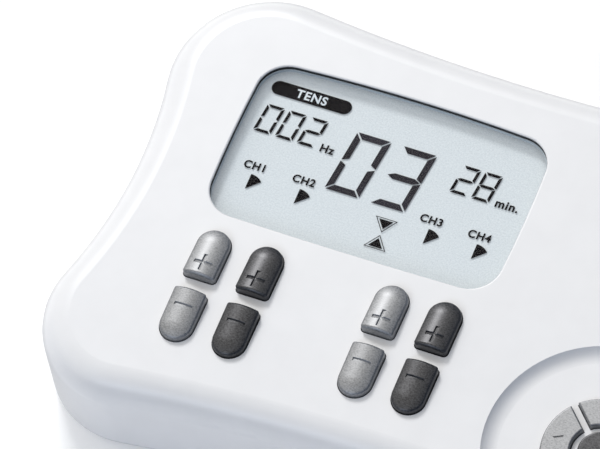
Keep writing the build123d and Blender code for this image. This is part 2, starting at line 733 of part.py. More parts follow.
def capacitors():
    low = BOARD_BOTTOM - CAPACITOR_HEIGHT
    cans = [post(x, CAPACITOR_Y, low, BOARD_BOTTOM, CAPACITOR_R) for x in CAPACITOR_X]
    return group([fillet(can.edges().sort_by(Axis.Z)[0], CAPACITOR_EDGE_R) for can in cans])


def buzzer():
    low = BOARD_BOTTOM - BUZZER_HEIGHT
    body = post(*BUZZER_PLACE, low, BOARD_BOTTOM, BUZZER_R)
    return body - post(*BUZZER_PLACE, low, low + BUZZER_HOLE_R, BUZZER_HOLE_R)


def channel_socket(x):
    wall = rear_wall_y()
    back = wall - WALL - SMALL_GAP
    block = slab(x - SOCKET_WIDTH / 2, x + SOCKET_WIDTH / 2, back - SOCKET_BLOCK, back,
                 SOCKET_Z - SOCKET_WIDTH / 2, BOARD_BOTTOM)
    mouth = wall + SOCKET_PROUD
    nose = Rot(90, 0, 0) * Cylinder(SOCKET_NOSE_R, mouth - back)
    bore = Rot(90, 0, 0) * Cylinder(SOCKET_BORE_R, SOCKET_BORE_LENGTH)
    body = block + Pos(x, (mouth + back) / 2, SOCKET_Z) * nose
    return body - Pos(x, mouth - SOCKET_BORE_LENGTH / 2, SOCKET_Z) * bore


# ---- batteries
def cell_row():
    """Each cell's Y and the way its positive end points."""
    middle = (CELL_COUNT - 1) / 2
    return [(CELL_ROW_Y + (i - middle) * CELL_PITCH, 1 - 2 * (i % 2)) for i in range(CELL_COUNT)]


def lengthwise(x0, x1, y, r):
    """Cylinder along X at the cells' height."""
    low, high = min(x0, x1), max(x0, x1)
    return Pos((low + high) / 2, y, CELL_Z) * (Rot(0, 90, 0) * Cylinder(r, high - low))


def battery(y, way):
    shoulder = CELL_TIP - CELL_NUB
    can = lengthwise(way * CELL_TAIL, way * shoulder, y, CELL_R)
    can = fillet(can.edges().filter_by(GeomType.CIRCLE), CELL_EDGE_R)
    return can + lengthwise(way * (shoulder - CELL_EDGE_R), way * CELL_TIP, y, CELL_NUB_R)


def battery_contacts():
    """A plate at each end of each cell; the one at the positive end has a raised button."""
    plates = []
    half = CELL_R - SLIDE_GAP
    for y, way in cell_row():
        for end in (way, -way):
            x0 = end * (WELL_X - CONTACT_THICK)
            x1 = end * WELL_X
            plate = slab(min(x0, x1), max(x0, x1), y - half, y + half,
                         CELL_Z - half, CELL_Z + half)
            if end == way:
                plate = plate + lengthwise(x0, end * CELL_TIP, y, CELL_NUB_R)
            plates.append(plate)
    return group(plates)


def battery_springs():
    """Leaf springs: a strip bent to a V between each cell's tail and its plate."""
    strips = []
    for y, way in cell_row():
        tail = -CELL_TAIL
        plate = WELL_X - CONTACT_THICK
        low, high = CELL_Z - CELL_NUB_R, CELL_Z + CELL_NUB_R
        thick = CONTACT_THICK
        path = [
            (plate, low), (tail, high - thick), (tail, high), (tail + thick, high),
            (plate, low + 2 * thick), (plate, low),
        ]
        strip = Plane.XZ * make_face(Polyline(*[(-way * x, z) for x, z in path]))
        strip = extrude(strip, amount=SPRING_WIDTH / 2, both=True)
        strips.append(Pos(0, y, 0) * strip)
    return group(strips)


# ---- fasteners and feet
def screw(x, y, seat, r, length, head_r, head):
    """Pan-head screw driven upwards, with a cross recess in its head."""
    body = post(x, y, seat, seat + length, r)
    cap = post(x, y, seat - head, seat, head_r)
    cap = fillet(cap.edges().sort_by(Axis.Z)[0], HEAD_EDGE_R)
    low = seat - head
    cross = slab(x - DRIVE_LENGTH / 2, x + DRIVE_LENGTH / 2, y - DRIVE_WIDTH / 2,
                 y + DRIVE_WIDTH / 2, low, low + DRIVE_DEPTH)
    cross = cross + slab(x - DRIVE_WIDTH / 2, x + DRIVE_WIDTH / 2, y - DRIVE_LENGTH / 2,
                         y + DRIVE_LENGTH / 2, low, low + DRIVE_DEPTH)
    return body + cap - cross


def case_screws():
    seat = BASE_Z + SCREW_SEAT
    return group([screw(x, y, seat, SCREW_R, SCREW_LENGTH, SCREW_HEAD_R, SCREW_HEAD)
                  for x, y in screw_places()])


def board_screws():
    length = BOARD_SCREW_LENGTH - SMALL_GAP
    return group([screw(x, y, BOARD_BOTTOM, BOARD_SCREW_R, length, BOARD_SCREW_HEAD_R,
                        BOARD_SCREW_HEAD) for x, y in board_posts()])


def rubber_feet():
    feet = []
    for x, y in foot_places():
        foot = post(x, y, 0, BASE_Z + FOOT_RECESS, FOOT_R)
        feet.append(fillet(foot.edges().sort_by(Axis.Z)[0], FOOT_EDGE_R))
    return group(feet)


# ---- the whole unit, one entry for each node
nodes = {
    "front_shell": front_shell(),
    "rear_shell": rear_shell(),
    "battery_cover": battery_cover(),
    "window_trim": window_trim(),
    "display_lens": display_lens(),
    "lcd_bezel": lcd_bezel(),
    "lcd_glass": lcd_glass(),
    "lcd_backlight": lcd_backlight(),
    "lcd_connector_strips": lcd_connector_strips(),
    "main_board": main_board(),
    "keypad_mat": keypad_mat(),
    "carbon_contacts": carbon_contacts(),
    "output_transformers": output_transformers(),
    "microcontroller": microcontroller(),
    "capacitors": capacitors(),
    "buzzer": buzzer(),
    "battery_contacts": battery_contacts(),
    "battery_springs": battery_springs(),
    "case_screws": case_screws(),
    "board_screws": board_screws(),
    "rubber_feet": rubber_feet(),
}
for number, (y, way) in enumerate(cell_row(), start=1):
    nodes[f"battery_{number}"] = battery(y, way)
for number, x in enumerate(socket_xs(), start=1):
    nodes[f"channel_socket_{number}"] = channel_socket(x)
for name, x, y, turn in channel_keys:
    nodes[name] = key_place(x, y, turn) * channel_key("plus" in name)
for name, turn in direction_keys:
    nodes[name] = key_place(DISH_X, DISH_Y, turn) * direction_key()
nodes["enter_key"] = Pos(DISH_X, DISH_Y) * round_top_key(
    enter_outline, DISH_FLOOR_Z, DISH_CEILING_Z, DIRECTION_RISE, DIRECTION_LAP, 0
)
for name, outline, x, y in side_keys:
    nodes[name] = Pos(x, y) * round_top_key(
        outline, FACE_Z, CEILING_Z, SIDE_KEY_RISE, FLANGE_LAP, STEM_DROP
    )

os.makedirs("parts", exist_ok=True)
for name, shape in nodes.items():
    export_step(shape, f"parts/{name}.step")
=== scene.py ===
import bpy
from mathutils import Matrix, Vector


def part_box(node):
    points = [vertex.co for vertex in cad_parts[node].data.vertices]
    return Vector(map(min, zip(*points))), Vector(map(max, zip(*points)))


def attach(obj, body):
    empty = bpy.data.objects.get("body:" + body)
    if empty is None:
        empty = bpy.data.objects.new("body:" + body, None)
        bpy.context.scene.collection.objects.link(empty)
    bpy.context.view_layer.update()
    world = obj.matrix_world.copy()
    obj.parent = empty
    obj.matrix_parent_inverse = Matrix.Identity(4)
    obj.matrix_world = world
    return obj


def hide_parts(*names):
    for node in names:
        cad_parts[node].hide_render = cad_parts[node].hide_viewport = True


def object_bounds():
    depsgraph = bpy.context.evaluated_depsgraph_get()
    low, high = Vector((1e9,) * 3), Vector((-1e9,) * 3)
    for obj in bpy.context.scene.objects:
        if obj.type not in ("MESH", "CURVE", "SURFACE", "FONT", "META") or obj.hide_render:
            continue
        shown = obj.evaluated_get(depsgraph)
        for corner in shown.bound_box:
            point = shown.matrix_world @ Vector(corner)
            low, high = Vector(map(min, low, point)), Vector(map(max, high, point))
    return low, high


bl_info = {
    "name": "Four-channel TENS unit",
    "version": (1, 0, 0),
    "blender": (4, 5, 0),
    "location": "View3D > Sidebar > TENS unit",
    "description": "Builds the finishes, keys and readout of a four-channel TENS unit "
                   "round its frame",
    "category": "Object",
}

import math

import bpy
import numpy as np
from mathutils import Quaternion, Vector

MM = 0.001
NOISE_LOW, NOISE_HIGH = 0.3, 0.7  # the span of a noise that its colours and gloss are spread over
DRIFT_MM = 9.0                    # lump size of the slow colour drift in moulded finishes

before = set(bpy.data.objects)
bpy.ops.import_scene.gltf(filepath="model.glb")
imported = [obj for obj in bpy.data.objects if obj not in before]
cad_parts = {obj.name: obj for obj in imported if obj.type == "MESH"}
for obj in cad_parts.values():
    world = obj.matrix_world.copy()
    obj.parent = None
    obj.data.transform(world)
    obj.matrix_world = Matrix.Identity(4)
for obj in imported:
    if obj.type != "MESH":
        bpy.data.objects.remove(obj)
CAD_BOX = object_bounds()


# ------------------------------------------------------------------ colour and node helpers
def linear(hex_colour):
    """sRGB hex such as 'F2F4F6' to linear RGB."""
    values = [int(hex_colour[i:i + 2], 16) / 255 for i in (0, 2, 4)]
    return tuple(v / 12.92 if v <= 0.04045 else ((v + 0.055) / 1.055) ** 2.4 for v in values)


def add(tree, kind, settings=None, links=None):
    """Adds one node. settings: property or socket name to value. links: socket name to output."""
    made = tree.nodes.new(kind)
    for name, value in (settings or {}).items():
        if isinstance(name, int) or name in made.inputs:
            made.inputs[name].default_value = value
        else:
            setattr(made, name, value)
    for name, output in (links or {}).items():
        tree.links.new(output, made.inputs[name])
    return made


def new_material(name):
    material = bpy.data.materials.get(name)
    if material is None:
        material = bpy.data.materials.new(name)
    material.use_nodes = True
    material.node_tree.nodes.clear()
    return material, material.node_tree


def surface(material, tree, shader):
    add(tree, "ShaderNodeOutputMaterial", links={"Surface": shader.outputs[0]})
    return material


def grain(tree, size_mm, detail=3.0, stretch=(1, 1, 1)):
    """Noise on object coordinates whose lumps are about size_mm across."""
    coords = add(tree, "ShaderNodeTexCoord")
    mapping = add(tree, "ShaderNodeMapping", {"Scale": stretch},
                  {"Vector": coords.outputs["Object"]})
    scale = 1 / (size_mm * MM)
    return add(tree, "ShaderNodeTexNoise",
               {"Scale": scale, "Detail": detail, "Roughness": 0.55},
               {"Vector": mapping.outputs["Vector"]})


def tint(tree, source, low_hex, high_hex):
    """Colour that runs from one hex to the other as source crosses the noise's span."""
    ramp = add(tree, "ShaderNodeValToRGB", links={"Fac": source.outputs[0]})
    ends = ramp.color_ramp.elements
    ends[0].position, ends[1].position = NOISE_LOW, NOISE_HIGH
    ends[0].color = (*linear(low_hex), 1)
    ends[1].color = (*linear(high_hex), 1)
    return ramp


def spread(tree, source, low, high):
    """A number that runs from low to high as source crosses the noise's span."""
    return add(tree, "ShaderNodeMapRange",
               {"From Min": NOISE_LOW, "From Max": NOISE_HIGH, "To Min": low, "To Max": high},
               {"Value": source.outputs[0]})


def relief(tree, source, height_mm):
    """Bump whose peaks stand height_mm above its hollows."""
    return add(tree, "ShaderNodeBump", {"Distance": height_mm * MM, "Strength": 1.0},
               {"Height": source.outputs[0]})


def plastic(name, low_hex, high_hex, rough, grain_mm, height_mm, ior=1.5, specular=0.5,
            coat=0.0):
    """A moulded or lacquered finish: slow colour drift, fine relief and uneven gloss."""
    material, tree = new_material(name)
    fine = grain(tree, grain_mm)
    slow = grain(tree, DRIFT_MM, detail=2.0)
    colour = tint(tree, slow, low_hex, high_hex)
    gloss = spread(tree, fine, rough * 0.88, rough * 1.12)
    bump = relief(tree, fine, height_mm)
    shader = add(tree, "ShaderNodeBsdfPrincipled",
                 {"IOR": ior, "Specular IOR Level": specular, "Coat Weight": coat,
                  "Coat Roughness": 0.12},
                 {"Base Color": colour.outputs["Color"], "Roughness": gloss.outputs["Result"],
                  "Normal": bump.outputs["Normal"]})
    return surface(material, tree, shader)


# ------------------------------------------------------------------ finishes
def white_abs_nodes(tree):
    """Nodes of white ABS, with painted shade: the white turns greyer where the surface turns
    away from the eye. Real ABS does not do this: it only makes round edges show against a white
    ground."""
    fine = grain(tree, 0.35)
    colour = tint(tree, grain(tree, DRIFT_MM, detail=2.0), "E6E6E7", "E9E9EA")
    # Painted shade: the white mixes toward grey 8E9094 where the surface turns away from the eye.
    away = add(tree, "ShaderNodeLayerWeight", {"Blend": 0.5})
    edge_shade_share = add(tree, "ShaderNodeMapRange", {"From Min": 0.6, "From Max": 1.0, "To Max": 0.62},
               {"Value": away.outputs["Facing"]})
    white_with_painted_shade = add(tree, "ShaderNodeMix",
                 {"data_type": "RGBA", 7: (*linear("8E9094"), 1)},
                 {0: edge_shade_share.outputs["Result"], 6: colour.outputs["Color"]})
    gloss = spread(tree, fine, 0.3, 0.38)
    bump = relief(tree, fine, 0.0012)
    return add(tree, "ShaderNodeBsdfPrincipled", {"IOR": 1.53},
               {"Base Color": white_with_painted_shade.outputs[2], "Roughness": gloss.outputs["Result"],
                "Normal": bump.outputs["Normal"]})


def moulded_white_abs():
    """ABS from a fine spark-eroded mould: a soft, slightly cool white with a satin gloss, and
    painted shade where its surface turns away from the eye.
    """
    material, tree = new_material("moulded_white_abs")
    return surface(material, tree, white_abs_nodes(tree))


def white_abs_with_black_reveal():
    """The same ABS, turned matt black on the window's upright reveal all round, so that a dark
    band frames the display. The black starts where the window's rounded edge ends."""
    material, tree = new_material("white_abs_with_black_reveal")
    white = white_abs_nodes(tree)
    low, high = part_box("window_trim")
    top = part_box("front_shell")[1].z
    coords = add(tree, "ShaderNodeTexCoord")
    offset = add(tree, "ShaderNodeVectorMath", {"operation": "SUBTRACT", 1: (low + high) / 2},
                 {0: coords.outputs["Object"]})
    away = add(tree, "ShaderNodeVectorMath", {"operation": "ABSOLUTE"},
               {0: offset.outputs["Vector"]})
    parts = add(tree, "ShaderNodeSeparateXYZ", links={"Vector": away.outputs["Vector"]})
    reach = (high - low) / 2 + Vector((1, 1, 0)) * 0.15 * MM
    in_x = add(tree, "ShaderNodeMath", {"operation": "LESS_THAN", 1: reach.x},
               {0: parts.outputs["X"]})
    in_y = add(tree, "ShaderNodeMath", {"operation": "LESS_THAN", 1: reach.y},
               {0: parts.outputs["Y"]})
    place = add(tree, "ShaderNodeSeparateXYZ", links={"Vector": coords.outputs["Object"]})
    below = add(tree, "ShaderNodeMapRange",
                {"From Min": top - 0.2 * MM, "From Max": top - 0.5 * MM},
                {"Value": place.outputs["Z"]})
    inside = add(tree, "ShaderNodeMath", {"operation": "MULTIPLY"},
                 {0: in_x.outputs[0], 1: in_y.outputs[0]})
    painted = add(tree, "ShaderNodeMath", {"operation": "MULTIPLY"},
                  {0: inside.outputs[0], 1: below.outputs["Result"]})
    paint = add(tree, "ShaderNodeBsdfPrincipled",
                {"Base Color": (*linear("141517"), 1), "Roughness": 0.6})
    both = add(tree, "ShaderNodeMixShader",
               links={0: painted.outputs[0], 1: white.outputs["BSDF"], 2: paint.outputs["BSDF"]})
    return surface(material, tree, both)


def pale_light_seal():
    """Silicone light seal between case and lens, toned like the display behind it."""
    return plastic("pale_light_seal", "B4BFC6", "C0CAD0", 0.6, 0.3, 0.004, ior=1.41)


def silver_lacquered_abs():
    """Metallic lacquer on ABS: aluminium flake gives a sparkling satin silver."""
    return lacquer("silver_lacquered_abs", "7E7F81", "A8A9AB", 0.49)


def gunmetal_lacquered_abs():
    """Metallic lacquer on ABS, toned dark grey."""
    return lacquer("gunmetal_lacquered_abs", "38383A", "5A5A5C", 0.4)


def lacquer(name, low_hex, high_hex, rough):
    """Flake that lies crosswise, 0.3 mm across: coarser than real so that it shows."""
    material, tree = new_material(name)
    flake = grain(tree, 0.3, detail=2.0, stretch=(0.6, 1, 1))
    colour = tint(tree, flake, low_hex, high_hex)
    gloss = spread(tree, flake, rough * 0.85, rough * 1.2)
    bump = relief(tree, flake, 0.010)
    shader = add(tree, "ShaderNodeBsdfPrincipled",
                 {"Metallic": 0.85, "Coat Weight": 0.15, "Coat Roughness": 0.25},
                 {"Base Color": colour.outputs["Color"], "Roughness": gloss.outputs["Result"],
                  "Normal": bump.outputs["Normal"]})
    return surface(material, tree, shader)


def black_moulded_abs():
    """ABS with carbon black: near black, with a dull moulded skin."""
    return plastic("black_moulded_abs", "16171A", "222327", 0.5, 0.25, 0.004)


def clear_acrylic():
    """PMMA sheet: it lets nearly all light through, with a faint glossy reflection."""
    material, tree = new_material("clear_acrylic")
    haze = grain(tree, 4.0)
    gloss = spread(tree, haze, 0.05, 0.09)
    facing = add(tree, "ShaderNodeLayerWeight", {"Blend": 0.5})
    steep = add(tree, "ShaderNodeMath", {"operation": "POWER", 1: 4.0},
                {0: facing.outputs["Facing"]})
    cover = add(tree, "ShaderNodeMapRange", {"To Min": 0.008, "To Max": 0.5},
                {"Value": steep.outputs[0]})
    mirror = add(tree, "ShaderNodeBsdfGlossy", links={"Roughness": gloss.outputs["Result"]})
    through = add(tree, "ShaderNodeBsdfTransparent")
    shader = add(tree, "ShaderNodeMixShader",
                 links={0: cover.outputs["Result"], 1: through.outputs["BSDF"],
                        2: mirror.outputs["BSDF"]})
    return surface(material, tree, shader)


def lcd_reflector():
    """The cell's rear reflector: pale blue-grey with the speckle of embossed foil, drawn 0.45 mm
    coarse so that it shows. Its faint glow stands for the backlight and is painted light that
    lightens the shadow inside the window."""
    material, tree = new_material("lcd_reflector")
    speckle = grain(tree, 0.45, detail=1.0)
    colour = tint(tree, speckle, "B4BCC0", "C5CCCF")
    bump = relief(tree, speckle, 0.004)
    shader = add(tree, "ShaderNodeBsdfPrincipled",
                 # Painted light: the faint emission lifts the shadow that the window's edge casts
                 # on the cell.
                 {"Roughness": 0.6, "Specular IOR Level": 0.3, "Emission Strength": 0.2,
                  "Emission Color": (*linear("EAF1F6"), 1)},
                 {"Base Color": colour.outputs["Color"], "Normal": bump.outputs["Normal"]})
    return surface(material, tree, shader)


def lcd_segment_dye():
    """Liquid crystal turned dark: nearly black with a warm violet cast."""
    return plastic("lcd_segment_dye", "0C0A0D", "131115", 0.9, 0.5, 0.0005, specular=0.05)


def lcd_number_dye():
    """The same layer over the wide segments, where it turns less dark."""
    return plastic("lcd_number_dye", "2A282C", "35333A", 0.9, 0.5, 0.0005, specular=0.05)


def pale_lcd_lettering():
    """Undarkened cell that shows through the mode label as letters."""
    return plastic("pale_lcd_lettering", "CDD6DC", "DCE3E8", 0.6, 0.3, 0.001)


def milky_acrylic():
    """Light guide: PMMA with a white diffuser."""
    return plastic("milky_acrylic", "DDE3E6", "EEF1F2", 0.3, 0.8, 0.002)


def silicone_rubber():
    """Moulded silicone: soft grey, matt, slightly translucent."""
    return plastic("silicone_rubber", "B9BBBD", "C8CACB", 0.62, 0.3, 0.006, ior=1.41)


def carbon_silicone():
    """Silicone filled with carbon: flat black and matt."""
    return plastic("carbon_silicone", "121213", "1C1C1D", 0.75, 0.2, 0.008, ior=1.45)


def solder_mask():
    """Epoxy solder mask over glass weave: glossy green with a 0.6 mm woven relief."""
    material, tree = new_material("solder_mask")
    coords = add(tree, "ShaderNodeTexCoord")
    weave = add(tree, "ShaderNodeTexChecker", {"Scale": 1 / (0.6 * MM)},
                {"Vector": coords.outputs["Object"]})
    slow = grain(tree, 12.0)
    colour = tint(tree, slow, "0D4A2C", "146038")
    bump = add(tree, "ShaderNodeBump", {"Distance": 0.01 * MM, "Strength": 0.6},
               {"Height": weave.outputs["Fac"]})
    shader = add(tree, "ShaderNodeBsdfPrincipled", {"Roughness": 0.25, "IOR": 1.55},
                 {"Base Color": colour.outputs["Color"], "Normal": bump.outputs["Normal"]})
    return surface(material, tree, shader)


def coil_tape():
    """Polyester tape round a winding: amber, with the wound layers as fine ribs."""
    material, tree = new_material("coil_tape")
    coords = add(tree, "ShaderNodeTexCoord")
    ribs = add(tree, "ShaderNodeTexWave",
               {"bands_direction": "Z", "Scale": 1 / (0.8 * MM) / 6.3, "Distortion": 0.4},
               {"Vector": coords.outputs["Object"]})
    colour = tint(tree, ribs, "8A5A12", "B98427")
    bump = add(tree, "ShaderNodeBump", {"Distance": 0.05 * MM}, {"Height": ribs.outputs["Fac"]})
    shader = add(tree, "ShaderNodeBsdfPrincipled", {"Roughness": 0.35, "IOR": 1.6},
                 {"Base Color": colour.outputs["Color"], "Normal": bump.outputs["Normal"]})
    return surface(material, tree, shader)


def moulded_epoxy():
    """Chip moulding compound: charcoal with a sandblasted skin."""
    return plastic("moulded_epoxy", "1B1B1C", "272728", 0.6, 0.12, 0.01, ior=1.55)


def metal(name, low_hex, high_hex, rough, grain_mm, height_mm, stretch=(1, 1, 1)):
    """A plain metal: its colour is its reflection, broken by drawing or rolling marks."""
    material, tree = new_material(name)
    marks = grain(tree, grain_mm, detail=4.0, stretch=stretch)
    colour = tint(tree, marks, low_hex, high_hex)
    gloss = spread(tree, marks, rough * 0.8, rough * 1.25)
    bump = relief(tree, marks, height_mm)
    shader = add(tree, "ShaderNodeBsdfPrincipled", {"Metallic": 1.0},
                 {"Base Color": colour.outputs["Color"], "Roughness": gloss.outputs["Result"],
                  "Normal": bump.outputs["Normal"]})
    return surface(material, tree, shader)


def drawn_aluminium():
    """Deep-drawn capacitor can: bright, with marks that run up the can."""
    return metal("drawn_aluminium", "C9CBCE", "E2E3E5", 0.3, 0.3, 0.004, (1, 1, 0.1))


def nickel_plated_steel():
    """Bright nickel on spring strip: warm silver, rolled lengthwise."""
    return metal("nickel_plated_steel", "B8B2A6", "D2CCC0", 0.24, 0.25, 0.003, (1, 0.15, 1))


def zinc_plated_steel():
    """Zinc-plated screw: bluish silver, slightly dull."""
    return metal("zinc_plated_steel", "9EA1A5", "C3C6CA", 0.34, 0.2, 0.006)


def printed_battery_jacket():
    """Plain shrink jacket: one dark colour all over, glossy under a thin clear coat."""
    return plastic("printed_battery_jacket", "1E2126", "2C3036", 0.28, 0.5, 0.002, coat=0.4)


def foot_rubber():
    """Moulded rubber: dark grey, matt, with a fine bloom."""
    return plastic("foot_rubber", "232427", "303135", 0.8, 0.3, 0.015)


def moulded_nylon():
    """Glass-filled nylon of the sockets: dark grey, dull, faintly fibrous."""
    return plastic("moulded_nylon", "1C1D1F", "2B2C2F", 0.5, 0.3, 0.008, ior=1.53)


def finish_nodes(names, material):
    """Puts one finish on CAD nodes."""
    for name in names:
        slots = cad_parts[name].data.materials
        slots.clear()
        slots.append(material)


# ------------------------------------------------------------------ mesh helpers
def mesh_piece(name, verts, faces, material, smooth=True, sharp_deg=None):
    """A mesh object from vertices in metres and a face list."""
    mesh = bpy.data.meshes.new(name)
    mesh.from_pydata([tuple(v) for v in verts], [], [tuple(int(i) for i in f) for f in faces])
    mesh.validate()
    mesh.polygons.foreach_set("use_smooth", [smooth] * len(mesh.polygons))
    mesh.materials.append(material)
    made = bpy.data.objects.new(name, mesh)
    bpy.context.scene.collection.objects.link(made)
    if sharp_deg is not None:
        mesh.set_sharp_from_angle(angle=math.radians(sharp_deg))
    return made


def grid_faces(rows, columns):
    """Quads of a rows by columns grid of vertices."""
    r = np.arange(rows - 1)[:, None]
    c = np.arange(columns - 1)[None, :]
    quads = np.stack([r * columns + c, r * columns + c + 1,
                      (r + 1) * columns + c + 1, (r + 1) * columns + c], axis=-1)
    return quads.reshape(-1, 4)


def flat_polygons(name, outlines, z0, z1, material):
    """Closed thin plates, one for each flat outline (n by 2, metres), from z0 up to z1."""
    verts, faces = [], []
    for outline in outlines:
        outline = np.asarray(outline, float)
        if polygon_area(outline) < 0:
            outline = outline[::-1]
        count, start = len(outline), len(verts)
        verts += [(x, y, z0) for x, y in outline] + [(x, y, z1) for x, y in outline]
        faces.append(tuple(range(start + count, start + 2 * count)))
        faces.append(tuple(range(start + count - 1, start - 1, -1)))
        for i in range(count):
            j = (i + 1) % count
            faces.append((start + i, start + j, start + count + j, start + count + i))
    return mesh_piece(name, verts, faces, material, smooth=False)


def polygon_area(outline):
    """Signed area, above zero when the outline runs anticlockwise."""
    x, y = outline[:, 0], outline[:, 1]
    return 0.5 * np.sum(x * np.roll(y, -1) - np.roll(x, -1) * y)


# ------------------------------------------------------------------ settings
class KeySettings(bpy.types.PropertyGroup):
    """Sizes of the channel keys that the frame leaves to the cap."""

    crown: bpy.props.FloatProperty(
        name="Crown", description="How far the cap falls from its middle line to its side",
        default=1.15 * MM, unit="LENGTH")
    slope: bpy.props.FloatProperty(
        name="Slope", description="How far the cap falls from the flat end to the round end",
        default=0.8 * MM, unit="LENGTH")
    edge: bpy.props.FloatProperty(
        name="Edge radius", description="Radius of the cap's upper edge", default=0.55 * MM,
        unit="LENGTH")
    facet: bpy.props.FloatProperty(
        name="Facet", description="Width of the facet along the flat end", default=0.75 * MM,
        unit="LENGTH")
    symbol: bpy.props.FloatProperty(
        name="Symbol length", description="Length of each engraved bar", default=5.0 * MM,
        unit="LENGTH")
    stroke: bpy.props.FloatProperty(
        name="Symbol stroke", description="Width of each engraved bar", default=1.05 * MM,
        unit="LENGTH")
    plus_in: bpy.props.FloatProperty(
        name="Plus inset", description="From the flat end to the middle of the plus",
        default=3.8 * MM, unit="LENGTH")
    minus_in: bpy.props.FloatProperty(
        name="Minus inset", description="From the flat end to the middle of the minus",
        default=5.3 * MM, unit="LENGTH")


class ReadoutSettings(bpy.types.PropertyGroup):
    """Sizes of the readout's figures."""

    big_height: bpy.props.FloatProperty(
        name="Big figure height", description="Height of the programme number",
        default=18.3 * MM, unit="LENGTH")
    small_height: bpy.props.FloatProperty(
        name="Small figure height", description="Height of the frequency and time figures",
        default=8.5 * MM, unit="LENGTH")
    slant: bpy.props.FloatProperty(
        name="Slant", description="Lean of the figures", default=math.radians(6.0),
        subtype="ANGLE")


class StageSettings(bpy.types.PropertyGroup):
    """The studio round the unit."""

    key_power: bpy.props.FloatProperty(
        name="Key light", description="Power of the large light behind the left shoulder, W",
        default=12.5)
    fill_power: bpy.props.FloatProperty(
        name="Fill light", description="Power of the cool light in front, W", default=4.1)
    room: bpy.props.FloatProperty(
        name="Room light", description="Strength of the room's even light", default=1.0)


# ------------------------------------------------------------------ channel keys
CAP_ROWS, CAP_COLUMNS = 151, 101
FACET_FALL = 0.6             # drop of the flat end's facet, as a share of its width
KEY_CORNER = 1.1 * MM
FLANGE_LAP = 0.9 * MM        # how far the flange stands out beyond the cap
FLANGE_THICK = 1.2 * MM
STEM_RADIUS = 2.2 * MM
STEM_DROP = 0.6 * MM         # from the flange's underside to the stem's foot
ENGRAVE_DEPTH = 0.4 * MM
GROOVE_END = 0.15 * MM       # width of the sloping wall at a bar's ends
GROOVE_STEEP = 0.28 * MM     # width of the steep long wall
GROOVE_GENTLE = 0.75 * MM    # width over which the floor rises on the other side
GROOVE_STEP = 0.35           # share of the depth that the floor keeps at its low step


def bullet_half_width(y, width, length, corner):
    """Half the key's width at each y: a straight bar with a round +y end and a flat -y end."""
    half = width / 2
    round_from = length / 2 - half
    x = np.full_like(y, half)
    up = np.clip(y - round_from, 0, half)
    x = np.where(y > round_from, np.sqrt(np.maximum(half**2 - up**2, 0)), x)
    low = np.clip(corner - (y + length / 2), 0, corner)
    return x - (corner - np.sqrt(np.maximum(corner**2 - low**2, 0)))


def groove(along, across, bar, stroke, sizes):
    """Depth, 0 to 1, of an engraved bar: one long wall steep; the floor then rises gently to a
    low step at the other side, so that it catches the light."""
    step, run = sizes["step"], stroke + across
    ramp = np.where(run > 0, step + (1 - step) * run / sizes["gentle"], 0)
    walls = [(bar - np.abs(along)) / sizes["end"], (stroke - across) / sizes["steep"], ramp]
    return np.clip(np.min(walls, axis=0), 0, 1)


